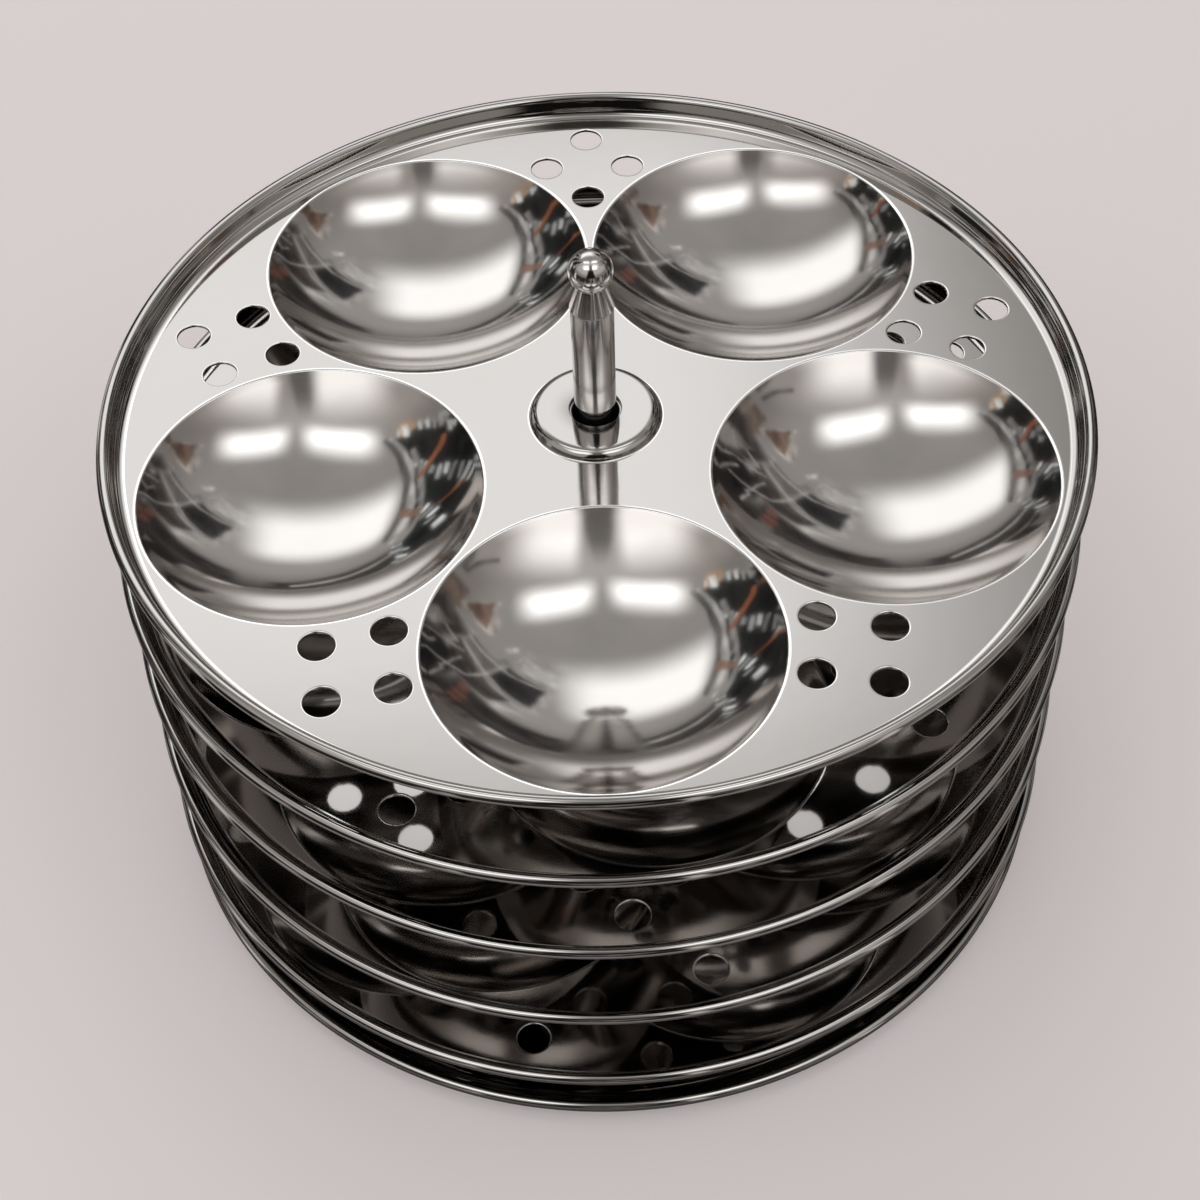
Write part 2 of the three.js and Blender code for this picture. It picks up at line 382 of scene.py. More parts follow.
    # The flat, cut out between all these and the vents.
    vent = value("Vent Radius")
    vent_reach = vent + support * VENT_COLLAR
    vent_spots = (
        (value("Vent Outer"), 0.0), (value("Vent Inner"), 0.0),
        (value("Vent Middle"), value("Vent Spread")), (value("Vent Middle"), -value("Vent Spread")),
    )
    vents = join([circle(vent_reach, VENT_STEPS, x, y) for x, y in vent_spots])
    collar = line((vent_reach, 0.0), (vent, 0.0), VENT_STEPS)
    collars = join([moved(collar, x, y) for x, y in vent_spots])
    half_step = TURN / 2 / value("Cup Count")
    collars = around_middle(collars, half_step - TURN / 4)
    outlines = join([
        circle(flat_radius, RIM_STEPS),
        circle(hub_foot + support, HUB_STEPS),
        around_middle(circle(lip + support, CUP_STEPS, value("Cup Pitch")), -TURN / 4),
        around_middle(vents, half_step - TURN / 4),
    ])
    filled = graph.node("GeometryNodeFillCurve", {"Curve": outlines})
    flat, bent = (
        graph.node("GeometryNodeSetShadeSmooth", {"Geometry": shape, "Shade Smooth": smooth})
        for shape, smooth in ((filled, False), (join([*rim, *hub, cups, collars]), True))
    )
    inputs = {"Geometry": join([flat, bent]), "Distance": MERGE_REACH}
    merged = graph.node("GeometryNodeMergeByDistance", inputs)
    shift, turn = graph.vector(z=value("Height")), graph.vector(z=value("Turn"))
    rotation = graph.node("FunctionNodeEulerToRotation", {0: turn})
    turned = graph.node(
        "GeometryNodeTransform", {"Geometry": merged, "Translation": shift, "Rotation": rotation}
    )
    whole = graph.node("GeometryNodeRealizeInstances", {0: turned})
    finished = graph.node(
        "GeometryNodeSetMaterial", {"Geometry": whole, "Material": value("Finish")}
    )
    graph.node("NodeGroupOutput", {"Geometry": finished})
    return graph.tree


# Sizes and colours that a user would change

def size(name, description, millimetres):
    return bpy.props.FloatProperty(
        name=name, description=description, default=millimetres * MM,
        min=0, precision=5, unit="LENGTH", subtype="DISTANCE",
    )


def tint(name, description, colour):
    return bpy.props.FloatVectorProperty(
        name=name, description=description, default=colour, size=3, min=0, max=1, subtype="COLOR"
    )


class SteamerPlateSizes(bpy.types.PropertyGroup):
    """Sizes of the five cupped plates."""

    thickness: size("Sheet", "Thickness of the pressed sheet", 0.8)
    cup_count: bpy.props.IntProperty(
        name="Cups", description="Cups in each plate", default=5, min=1, max=9
    )
    cup_diameter: size("Cup mouth", "Width of a cup where it meets the flat", 79)
    cup_depth: size("Cup depth", "Depth of a cup under the flat", 15)
    cup_edge: size("Cup edge", "Radius of the round edge of a cup", 1)
    cup_pitch: size("Cup pitch", "From the rod to the middle of a cup", 68.8)
    vent_diameter: size("Vent", "Width of a steam vent", 8)
    vent_outer: size("Outer vent", "From the rod to the outer vent", 101.5)
    vent_inner: size("Inner vent", "From the rod to the inner vent", 78.4)
    vent_middle: size("Side vents", "From the rod out to the pair of side vents", 90.3)
    vent_spread: size("Side vent spread", "From the middle to a side vent", 10.4)
    rim_height: size("Rim height", "Height of the rolled rim over the flat", 5.7)
    wall_radius: size("Wall radius", "From the rod to the inside of the wall", 112)
    corner_bend: size("Corner bend", "Bend between the flat and the wall", 2.5)
    bead_radius: size("Bead radius", "Radius of the rolled rim", 1.5)
    hub_hole: size("Hub hole radius", "Radius of the hole in the hub", 6.05)
    hub_top: size("Hub top radius", "Radius of the hub's flat top", 12.8)
    hub_rise: size("Hub rise", "Height of the hub over the flat", 2.3)
    hub_shoulder: size("Hub shoulder", "Radius of the hub's round shoulder", 2.6)
    hub_foot: size("Hub foot bend", "Bend where the hub meets the flat", 0.3)
    turns: bpy.props.FloatVectorProperty(
        name="Plate turns", description="How far each plate is turned, the top one first",
        size=PLATE_COUNT, default=[math.radians(a) for a in (0, 9, 38.5, -23.2, 24.5)],
        unit="ROTATION",
    )


class SteamerStandSizes(bpy.types.PropertyGroup):
    """Sizes of the tray, rod, handle and their fastening."""

    tray_rim_height: size("Tray rim height", "Height of the rim over the floor", 8.1)
    tray_radius: size("Tray radius", "From the rod to the inside of the bead", 111.25)
    tray_lean: size("Tray lean", "The wall's foot, in from its top", 3)
    tray_corner: size("Tray corner", "Bend between floor and wall", 3)
    tray_hub_rise: size("Tray hub rise", "Height of the hub over the floor", 5)
    tray_hub_shoulder: size("Tray hub shoulder", "Radius of its round shoulder", 4)
    tray_hub_foot: size("Tray hub foot", "Bend where the hub meets the floor", 1)
    stud_radius: size("Stud radius", "Radius of the rod's threaded ends", 2.5)
    stud_hole: size("Stud hole", "Radius of the holes for the threaded ends", 2.65)
    thread_depth: size("Thread depth", "Depth of the thread's grooves", 0.3)
    thread_pitch: size("Thread pitch", "From one thread to the next", 0.8)
    handle_bend: size("Handle edge", "Radius of the handle's foot edge", 0.4)
    lip_height: size("Lip height", "Height of the edge round the cone's foot", 0.15)
    lip_reach: size("Lip reach", "That edge, out past the handle", 0.2)
    cone_height: size("Cone height", "Height of the cone under the ball", 5.95)
    neck_radius: size("Neck radius", "Radius of the neck under the ball", 3.1)
    ball_radius: size("Ball radius", "Radius of the ball on top", 5.1)


class SteamerFinish(bpy.types.PropertyGroup):
    """Colours of the steel and of the stage."""

    flat_colour: tint("Flats", "Steel of the satin flats", (0.55, 0.535, 0.52))
    cup_colour: tint("Cups", "Steel of the polished cups", (0.78, 0.76, 0.74))
    edge_colour: tint("Cup edges", "Steel towards a cup's edge", (0.50, 0.47, 0.45))
    # Painted shade: the darker colour that faces turned down take, which the flats below reflect.
    under_shade_colour: tint("Undersides", "Duller steel underneath", (0.38, 0.355, 0.335))
    handle_colour: tint("Handle", "Steel of the sleeve and knob", (0.72, 0.70, 0.69))
    rod_colour: tint("Rod", "Steel of the rod", (0.30, 0.29, 0.285))
    dull_colour: tint("Plain steel", "Steel of tubes and nut", (0.50, 0.49, 0.48))
    floor_colour: tint("Floor", "Paint of the studio floor", (0.80, 0.74, 0.745))


# Meshes

def new_piece(name, mesh, body, node):
    """A finished piece at the origin, which rides on a body and stands for a CAD node."""
    piece = bpy.data.objects.new(name, mesh)
    bpy.context.scene.collection.objects.link(piece)
    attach(piece, body)
    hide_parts(node)
    return piece


def rounded(corners, steps=5):
    """Profile points from corners of radius, height and bend, each corner rounded to its bend."""
    points = []
    for i, (radius, height, bend) in enumerate(corners):
        here = Vector((radius, height))
        if bend == 0:
            points.append(here)
            continue
        before = (Vector(corners[i - 1][:2]) - here).normalized()
        after = (Vector(corners[(i + 1) % len(corners)][:2]) - here).normalized()
        half = before.angle(after) / 2
        centre = here + (before + after).normalized() * (bend / math.sin(half))
        start = here + before * (bend / math.tan(half)) - centre
        end = here + after * (bend / math.tan(half)) - centre
        sweep = math.atan2(start.x * end.y - start.y * end.x, start.dot(end))
        for step in range(steps + 1):
            angle = sweep * step / steps
            points.append(centre + Matrix.Rotation(angle, 2) @ start)
    return points


def arc_points(centre, radius, start, end, steps):
    """Profile points on an arc, angles in degrees."""
    angles = [math.radians(start + (end - start) * i / steps) for i in range(steps + 1)]
    return [Vector((centre[0] + radius * math.cos(a), centre[1] + radius * math.sin(a)))
            for a in angles]


def turned_mesh(name, profile, around=ROD_STEPS, closed=True, reach=None, sharp=35):
    """A counter-clockwise profile turned about Z. It closes on itself, or starts and ends on Z.

    reach may give another radius for a profile point at an angle."""
    corners, faces, rings = [], [], []
    for row, (radius, height) in enumerate(profile):
        on_axis = abs(radius) < MERGE_REACH
        first = len(corners)
        for i in range(1 if on_axis else around):
            angle = TURN * i / around
            far = reach(row, radius, angle) if reach else radius
            place = height(angle) if callable(height) else height
            corners.append((far * math.cos(angle), far * math.sin(angle), place))
        rings.append([first + (0 if on_axis else i) for i in range(around)])
    pairs = list(zip(rings, rings[1:] + rings[:1])) if closed else list(zip(rings, rings[1:]))
    for low, high in pairs:
        for i in range(around):
            j = (i + 1) % around
            face = [low[i], low[j], high[j], high[i]]
            face = [v for k, v in enumerate(face) if v != face[k - 1]]
            if len(face) > 2:
                faces.append(face)
    mesh = bpy.data.meshes.new(name)
    mesh.from_pydata(corners, [], faces)
    mesh.shade_smooth()
    mesh.set_sharp_from_angle(angle=math.radians(sharp))
    mesh.validate()
    return mesh


def turned_piece(name, profile, material, body, node, slot_name, **shape):
    mesh = turned_mesh(name, profile, **shape)
    mesh.materials.append(material)
    new_piece(name, mesh, body, node)


def pressed_mesh(name, group, thickness, edge, **sizes):
    """A sheet from the sheet tree, with its thickness and broken edges.

    Each input comes from sizes, or else from the property group, or else is nought."""
    tree = bpy.data.node_groups.get("pressed_sheet") or sheet_tree()
    holder = bpy.data.objects.new(name + "_maker", bpy.data.meshes.new(name + "_maker"))
    bpy.context.scene.collection.objects.link(holder)
    shaper = holder.modifiers.new("pressing", "NODES")
    shaper.node_group = tree
    for item in tree.interface.items_tree:
        if item.item_type == "SOCKET" and item.in_out == "INPUT":
            key = item.name.lower().replace(" ", "_")
            shaper[item.identifier] = sizes.get(key, getattr(group, key, 0.0))
    wall = holder.modifiers.new("sheet", "SOLIDIFY")
    wall.thickness = thickness
    wall.offset = -1
    wall.use_even_offset = True
    wall.use_quality_normals = True
    rounding = holder.modifiers.new("edges", "BEVEL")
    rounding.width = edge
    rounding.segments = 3
    rounding.limit_method = "ANGLE"
    rounding.angle_limit = math.radians(60)
    rounding.use_clamp_overlap = False
    scene_state = bpy.context.evaluated_depsgraph_get()
    mesh = bpy.data.meshes.new_from_object(holder.evaluated_get(scene_state))
    mesh.name = name
    holder.modifiers.clear()
    bpy.data.objects.remove(holder)
    return mesh


# Finishes

def steel(name, colour, roughness, texture, grain=0.0):
    """Bare steel. texture gives its tint, change of roughness, and lines with their depth.

    grain stretches reflections along the axis, as rings left by a lathe do."""
    material, graph = new_material(name)
    tint, change, height, depth = texture(graph)
    dark = tuple(c * 0.8 for c in colour) + (1,)
    bump = graph.node("ShaderNodeBump", {"Strength": 1.0, "Distance": depth, "Height": height})
    surface = graph.node(
        "ShaderNodeBsdfPrincipled",
        {
            "Base Color": graph.mix(tint, (*colour, 1), dark),
            "Metallic": 1.0,
            "Roughness": change + roughness,
            "Anisotropic": grain,
            "Anisotropic Rotation": 0.25,
            "Normal": bump,
        },
    )
    graph.show(surface)
    return material


def plate_steel(name, sizes, finish, turn, height, seed, has_cups=1.0):
    """Pressed plate: satin flats, cups polished in circles, and a rim polished along its length,
    with painted highlights along edges and painted shade on undersides.
    """
    material, graph = new_material(name)
    place = graph.place()
    local = graph.node(
        "ShaderNodeMapping",
        {"Vector": place, "Location": (0, 0, -height), "Rotation": (0, 0, -turn)},
    )
    x, y, z = graph.parts(local)
    radius = graph.distance(x, y)
    angle = graph.maths("ARCTAN2", y, x)
    step = TURN / sizes.cup_count
    cup_number = graph.maths("ROUND", (angle + TURN / 4) / step)
    cup_angle = angle + TURN / 4 - cup_number * step
    across = radius * graph.cos(cup_angle) - sizes.cup_pitch
    along = radius * graph.sin(cup_angle)
    cup_radius = graph.distance(across, along)
    cup_turn = graph.maths("ARCTAN2", along, across)
    in_cup = graph.blend(*CUP_POLISH, z)
    at_rim = graph.blend(*RIM_RADII, radius)

    cup_rings = graph.noise(
        graph.vector(cup_radius * 900, cup_turn * 0.5, cup_number * 3.7 + seed), 1.0, 3.0, 0.65
    )
    flat_rings = graph.noise(graph.vector(radius * 700, angle * 2.5, seed * 1.0), 1.0, 3.0, 0.6)
    lines = cup_rings * in_cup + flat_rings * (1 - in_cup)
    cloud = graph.noise(local, 28.0, 3.0, 0.55)
    haze = graph.noise(local, 160.0, 4.0, 0.6)
    # Each cup is darker towards its edge.
    towards_edge = graph.blend(*DARKER_EDGE_RADII, cup_radius)
    bowl = graph.mix(towards_edge, (*finish.cup_colour, 1), (*finish.edge_colour, 1))
    base = graph.mix(in_cup, (*finish.flat_colour, 1), bowl)
    polished = graph.mix(cloud * 0.25 + haze * 0.1, base, (0.5, 0.475, 0.455, 1))
    group = (graph.maths("ROUND", (angle + TURN / 4) / step - 0.5) + 0.5) * step
    vent_angle = angle + TURN / 4 - group
    vent_x = radius * graph.cos(vent_angle)
    vent_y = graph.maths("ABSOLUTE", radius * graph.sin(vent_angle))

    def from_vent(x, y):
        return graph.distance(vent_x - x, vent_y - y)

    vent_radius = graph.maths(
        "MINIMUM", from_vent(sizes.vent_middle, sizes.vent_spread),
        graph.maths("MINIMUM", from_vent(sizes.vent_outer, 0.0), from_vent(sizes.vent_inner, 0.0)),
    )

    def edge_highlight(place, edge, line):
        """A painted highlight along an edge, full near its middle and gone at its reach."""
        out, reach = line
        return graph.blend(reach, reach * 0.4, graph.maths("ABSOLUTE", place - (edge + out)))

    cup_highlight = edge_highlight(cup_radius, sizes.cup_diameter / 2, CUP_HIGHLIGHT)
    vent_highlight = edge_highlight(vent_radius, sizes.vent_diameter / 2, VENT_HIGHLIGHT)
    hub_highlight = edge_highlight(radius, sizes.hub_top, HUB_HIGHLIGHT)
    wall_highlight = edge_highlight(radius, sizes.wall_radius - sizes.corner_bend, WALL_HIGHLIGHT)
    # Painted highlights: a near-white colour along the edges, only on faces that face up.
    edges = graph.maths(
        "MAXIMUM",
        graph.maths("MAXIMUM", cup_highlight, vent_highlight) * has_cups,
        graph.maths("MAXIMUM", hub_highlight, wall_highlight),
    )
    _, _, facing = graph.parts(graph.place("Normal"))
    # Painted shade: faces that face down, inside the rim, take the darker underside colour.
    under = graph.blend(-0.02, -0.12, facing) * graph.blend(*UNDER_SHADE_RADII, radius)
    edges = edges * graph.blend(0.1, 0.5, facing)
    bright = graph.mix(edges, polished, (0.98, 0.97, 0.96, 1))
    shade = graph.mix(under, bright, (*finish.under_shade_colour, 1))
    roughness = (
        0.055 + (haze - 0.5) * 0.03 + (lines - 0.5) * 0.05 + (cloud - 0.5) * 0.02
        + in_cup * 0.03 - at_rim * 0.01 + under * 0.05 + edges * 0.12
    )
    height_map = lines * 0.35 + cloud * 14
    bump = graph.node(
        "ShaderNodeBump", {"Strength": 1.0, "Distance": PRESSED_LINES, "Height": height_map}
    )
    surface = graph.node(
        "ShaderNodeBsdfPrincipled",
        {"Base Color": shade, "Metallic": 1.0, "Roughness": roughness, "Normal": bump},
    )
    graph.show(surface)
    return material


def turned_texture(graph):
    """Fine rings left by a lathe and by polishing."""
    place = graph.place()
    x, y, z = graph.parts(place)
    angle = graph.maths("ARCTAN2", y, x)
    radius = graph.distance(x, y)
    rings = graph.noise(graph.vector(z * 2600, angle * 0.4, radius * 2600), 1.0, 3.0, 0.6)
    haze = graph.noise(place, 260.0, 3.0)
    return haze * 0.5, (rings - 0.5) * 0.09 + (haze - 0.5) * 0.06, rings, TURNED_LINES


def handle_texture(graph):
    """The same rings on the sleeve and cone, which are less polished than the ball."""
    tint, change, rings, depth = turned_texture(graph)
    _, _, height = graph.parts(graph.place())
    ball_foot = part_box("handle_knob")[1][2] - 2 * bpy.context.scene.steamer_stand.ball_radius
    cone_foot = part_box("handle_knob")[0][2]
    dull = graph.blend(ball_foot + MM, ball_foot, height) * 0.04
    reach, full = SEAM_LINE
    cone = graph.blend(cone_foot - full, cone_foot + full, height)
    seam = graph.blend(reach, full, graph.maths("ABSOLUTE", height - cone_foot))
    return tint + seam, change + dull + dull * cone * 0.5 + seam * 0.3, rings, depth


def drawn_texture(graph):
    """Lines along a drawn tube or bar, with dull patches."""
    place = graph.place()
    x, y, z = graph.parts(place)
    angle = graph.maths("ARCTAN2", y, x)
    lines = graph.noise(graph.vector(angle * 24, z * 40, 0.0), 1.0, 4.0, 0.65)
    patches = graph.noise(place, 120.0, 4.0)
    return patches, (lines - 0.5) * 0.2 + (patches - 0.5) * 0.2, lines, DRAWN_LINES


# Pieces

def plate_level(number):
    """Height of a plate's flat, from its place in the frame."""
    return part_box(f"idli_plate_{number}")[1][2] - bpy.context.scene.idli_plates.rim_height


class STEAMER_OT_plates(bpy.types.Operator):
    """Presses the five cupped plates"""

    bl_idname = "steamer.plates"
    bl_label = "Idli Plates"

    def execute(self, context):
        sizes, finish = context.scene.idli_plates, context.scene.steamer_finish
        for number in range(1, PLATE_COUNT + 1):
            turn, level = sizes.turns[number - 1], plate_level(number)
            name = f"pressed_plate_{number}"
            mesh = pressed_mesh(
                name, sizes, sizes.thickness, PLATE_EDGE,
                wall_foot=sizes.wall_radius,
                bead_centre_radius=sizes.wall_radius + sizes.bead_radius,
                bead_centre_height=sizes.rim_height - sizes.bead_radius,
                curl_end=PLATE_CURL_END, cup_radius=sizes.cup_diameter / 2,
                vent_radius=sizes.vent_diameter / 2, support=SUPPORT, turn=turn, height=level,
                finish=plate_steel(f"plate_steel_{number}", sizes, finish, turn, level, number),
            )
            new_piece(name, mesh, f"plate_{number}", f"idli_plate_{number}")
        return {"FINISHED"}


class STEAMER_OT_tray(bpy.types.Operator):
    """Presses the plain tray under the stack"""

    bl_idname = "steamer.tray"
    bl_label = "Tray"

    def execute(self, context):
        plates, sizes = context.scene.idli_plates, context.scene.steamer_stand
        finish = context.scene.steamer_finish
        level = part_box("base_plate")[0][2] + plates.thickness
        mesh = pressed_mesh(
            "pressed_tray", plates, plates.thickness, TRAY_EDGE,
            hub_hole=sizes.stud_hole, hub_rise=sizes.tray_hub_rise,
            hub_shoulder=sizes.tray_hub_shoulder, hub_foot=sizes.tray_hub_foot,
            wall_foot=sizes.tray_radius - sizes.tray_lean, corner_bend=sizes.tray_corner,
            bead_centre_radius=sizes.tray_radius + plates.bead_radius,
            bead_centre_height=sizes.tray_rim_height - plates.bead_radius,
            curl_end=TRAY_CURL_END, cup_radius=plates.cup_diameter / 2,
            vent_radius=plates.vent_diameter / 2, support=SUPPORT, height=level, cup_count=0,
            finish=plate_steel("tray_steel", plates, finish, 0.0, level, TRAY_SEED, 0.0),
        )
        new_piece("pressed_tray", mesh, "stand", "base_plate")
        return {"FINISHED"}


class STEAMER_OT_tubes(bpy.types.Operator):
    """Makes the spacer tubes that carry the plates"""

    bl_idname = "steamer.tubes"
    bl_label = "Spacer Tubes"

    def execute(self, context):
        finish = context.scene.steamer_finish
        material = steel("drawn_steel", tuple(finish.dull_colour), 0.3, drawn_texture)
        for number in range(1, PLATE_COUNT + 1):
            low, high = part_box(f"spacer_tube_{number}")
            radius, bore = high[0], high[0] - TUBE_WALL
            profile = rounded([
                (bore, low[2], TUBE_EDGE), (radius, low[2], TUBE_EDGE),
                (radius, high[2], TUBE_EDGE), (bore, high[2], TUBE_EDGE),
            ])
            name = f"drawn_tube_{number}"
            turned_piece(
                name, profile, material, f"tube_{number}", f"spacer_tube_{number}", "plain_steel"
            )
        return {"FINISHED"}


def threaded(radius, low, high, depth, pitch):
    """Profile of a threaded length, from low to high, as rings one pitch apart."""
    count = max(1, int((high - low) / pitch))
    rise = (high - low) / count
    shape = ((0, 0), (0, 0.2), (depth, 0.55), (depth, 0.65))
    rows = [
        Vector((radius - sunk, low + rise * (i + share)))
        for i in range(count) for sunk, share in shape
    ]
    return [*rows, Vector((radius, high))]


class STEAMER_OT_rod(bpy.types.Operator):
    """Turns the rod that everything stands over"""

    bl_idname = "steamer.rod"
    bl_label = "Centre Rod"

    def execute(self, context):
        sizes = context.scene.steamer_stand
        low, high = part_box("centre_rod")
        radius = high[0]
        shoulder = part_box("foot_washer")[1][2] + context.scene.idli_plates.thickness
        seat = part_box("handle_sleeve")[0][2]
        stud, depth, pitch = sizes.stud_radius, sizes.thread_depth, sizes.thread_pitch
        foot = threaded(stud, low[2] + STUD_CHAMFER, shoulder - STUD_CHAMFER, depth, pitch)
        tip = threaded(stud, seat + STUD_CHAMFER, high[2] - STUD_CHAMFER, depth, pitch)
        profile = [
            Vector((0, low[2])), Vector((stud - STUD_CHAMFER, low[2])), *foot,
            Vector((stud, shoulder)),
            *rounded([(stud, shoulder, 0), (radius, shoulder, ROD_EDGE),
                      (radius, seat, ROD_EDGE), (stud, seat, 0)])[1:],
            *tip, Vector((stud - STUD_CHAMFER, high[2])), Vector((0, high[2])),
        ]
        colour = tuple(context.scene.steamer_finish.rod_colour)
        material = steel("rod_steel", colour, 0.22, turned_texture)
        turned_piece("turned_rod", profile, material, "stand", "centre_rod", "polished_steel",
                     closed=False)
        return {"FINISHED"}


class STEAMER_OT_handle(bpy.types.Operator):
    """Turns the handle's sleeve and the knob with its cone and ball"""

    bl_idname = "steamer.handle"
    bl_label = "Handle and Knob"

    def execute(self, context):
        sizes = context.scene.steamer_stand
        material = steel(
            "handle_steel", tuple(context.scene.steamer_finish.handle_colour), 0.08,
            handle_texture, 0.9,
        )
        low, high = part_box("handle_sleeve")
        radius, bore = high[0], sizes.stud_hole
        sleeve = rounded([
            (bore, low[2], SLEEVE_EDGES[0]), (radius, low[2], sizes.handle_bend),
            (radius, high[2], SLEEVE_EDGES[1]), (bore, high[2], 0),
        ])
        turned_piece("turned_sleeve", sleeve, material, "stand", "handle_sleeve", "polished_steel")

        seam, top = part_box("handle_knob")[0][2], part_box("handle_knob")[1][2]
        lip = radius + sizes.lip_reach
        neck = seam + sizes.lip_height + sizes.cone_height
        centre = top - sizes.ball_radius
        sink = -math.degrees(math.acos(sizes.neck_radius / sizes.ball_radius))
        bore_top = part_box("centre_rod")[1][2] + STUD_ROOM
        outside = rounded([
            (bore, seam, 0), (radius, seam, LIP_EDGES[0]),
            (lip, seam + sizes.lip_height, LIP_EDGES[1]), (sizes.neck_radius, neck, 0),
        ])
        ball = arc_points((0, centre), sizes.ball_radius, sink, 90, 40)
        ball[-1].x = 0
        profile = [Vector((0, bore_top)), Vector((bore, bore_top)), *outside[:-1], *ball]
        turned_piece("turned_knob", profile, material, "stand", "handle_knob", "polished_steel",
                     closed=False, sharp=25)
        return {"FINISHED"}


class STEAMER_OT_fastening(bpy.types.Operator):
    """Makes the washer and nut that hold the rod under the tray"""

    bl_idname = "steamer.fastening"
    bl_label = "Washer and Nut"

    def execute(self, context):
        sizes = context.scene.steamer_stand
        material = steel(
            "plain_steel", tuple(context.scene.steamer_finish.dull_colour), 0.32, drawn_texture
        )
        bore = sizes.stud_hole
        low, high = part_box("foot_washer")
        washer = rounded([
            (bore, low[2], WASHER_EDGES[0]), (high[0], low[2], WASHER_EDGES[1]),
            (high[0], high[2], WASHER_EDGES[1]), (bore, high[2], WASHER_EDGES[0]),
        ])
        turned_piece("round_washer", washer, material, "stand", "foot_washer", "plain_steel")

        low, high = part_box("foot_nut")
        flats = high[0] * math.cos(math.pi / 6)
        crown = flats - NUT_CROWN
        slope = math.tan(math.radians(30))

        def side(angle):
            return flats / math.cos((angle + TURN / 12) % (TURN / 6) - TURN / 12)

        rows = [
            (bore, low[2] + NUT_CHAMFER), (bore + NUT_CHAMFER, low[2]), (crown, low[2]),
            (flats, lambda angle: low[2] + (side(angle) - crown) * slope),
            (flats, lambda angle: high[2] - (side(angle) - crown) * slope),
            (crown, high[2]), (bore + NUT_CHAMFER, high[2]), (bore, high[2] - NUT_CHAMFER),
        ]
        turned_piece(
            "hexagon_nut", rows, material, "stand", "foot_nut", "plain_steel", sharp=20,
            reach=lambda row, radius, angle: side(angle) if row in (3, 4) else radius,
        )
        return {"FINISHED"}


# Stage

def stage_piece(name, mesh, material, hidden_from=(), height=0.0):
    """Puts a mesh of the stage in place. It can be hidden from some kinds of ray."""
    mesh.materials.append(material)
    piece = bpy.data.objects.new(name, mesh)
    piece.location.z = height
    for ray in hidden_from:
        setattr(piece, "visible_" + ray, False)
    bpy.context.scene.collection.objects.link(piece)


def softbox(name, corners, strength, feather):
    """A level softbox over the stand, its edges fading over a share of its width and depth.

    Corners are X and Y as they would be if the lamp hung one metre over the top plate."""
    mesh = bpy.data.meshes.new(name)
    spots = [(x * LAMP_HEIGHT, y * LAMP_HEIGHT, 0) for x, y in corners]
    mesh.from_pydata(spots, [], [(0, 3, 2, 1)])
    chart = mesh.uv_layers.new(name="chart")
    for loop, spot in zip(chart.data, ((0, 0), (0, 1), (1, 1), (1, 0))):
        loop.uv = spot
    material, graph = new_material(name)
    across, along, _ = graph.parts(graph.place("UV"))
    level = 1 - graph.node("ShaderNodeNewGeometry", output="Backfacing")
    for share, (near, far) in zip((across, along), feather):
        level = graph.blend(0.0, near, share) * graph.blend(1.0, 1 - far, share) * level
    glow = graph.node("ShaderNodeEmission", {"Strength": strength})
    clear = graph.node("ShaderNodeBsdfTransparent")
    surface = graph.node("ShaderNodeMixShader", {0: level, 1: clear, 2: glow})
    graph.show(surface)
    height = LAMP_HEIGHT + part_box("idli_plate_1")[1][2]
    stage_piece(name, mesh, material, ("camera",), height)


STEEL_ONLY = ("camera", "diffuse", "shadow")
LAMP_HEIGHT = 1.2
FLOOR_REACH = 6.0
FLOOR_LEVEL = -0.1 * MM
FLAG_EDGES = ((0.28, 0.0), (0.44, 0.20))  # radius and height of the low screen's foot and top
CAMERA_PLACE = (0.0, -0.37867, 0.50897)
CAMERA_PITCH = math.radians(44.9612)
CAMERA_PAN = math.radians(-0.0538)
CAMERA_TILT = math.radians(-4.653)
CAMERA_ROLL = math.radians(-2.0104)
CAMERA_LENS = 68.675


def aim_camera():
    """The camera, set to the view of the photograph."""
    data = bpy.data.cameras.new("camera")
    camera = bpy.data.objects.new("camera", data)
    bpy.context.scene.collection.objects.link(camera)
    bpy.context.scene.camera = camera
    data.lens = CAMERA_LENS
    data.sensor_width = 36
    data.clip_start = 0.01
    ahead = Vector((0, math.cos(CAMERA_PITCH), -math.sin(CAMERA_PITCH)))
    right = Vector((1, 0, 0))
    up = right.cross(ahead)
    look = (
        ahead * math.cos(CAMERA_PAN) * math.cos(CAMERA_TILT)
        + right * math.sin(CAMERA_PAN) * math.cos(CAMERA_TILT)
        + up * math.sin(CAMERA_TILT)
    )
    side = look.cross(up).normalized()
    rise = side.cross(look)
    right = side * math.cos(CAMERA_ROLL) + rise * math.sin(CAMERA_ROLL)
    up = rise * math.cos(CAMERA_ROLL) - side * math.sin(CAMERA_ROLL)
    turn = Matrix((right, up, -look)).transposed().to_4x4()
    camera.matrix_world = Matrix.Translation(CAMERA_PLACE) @ turn


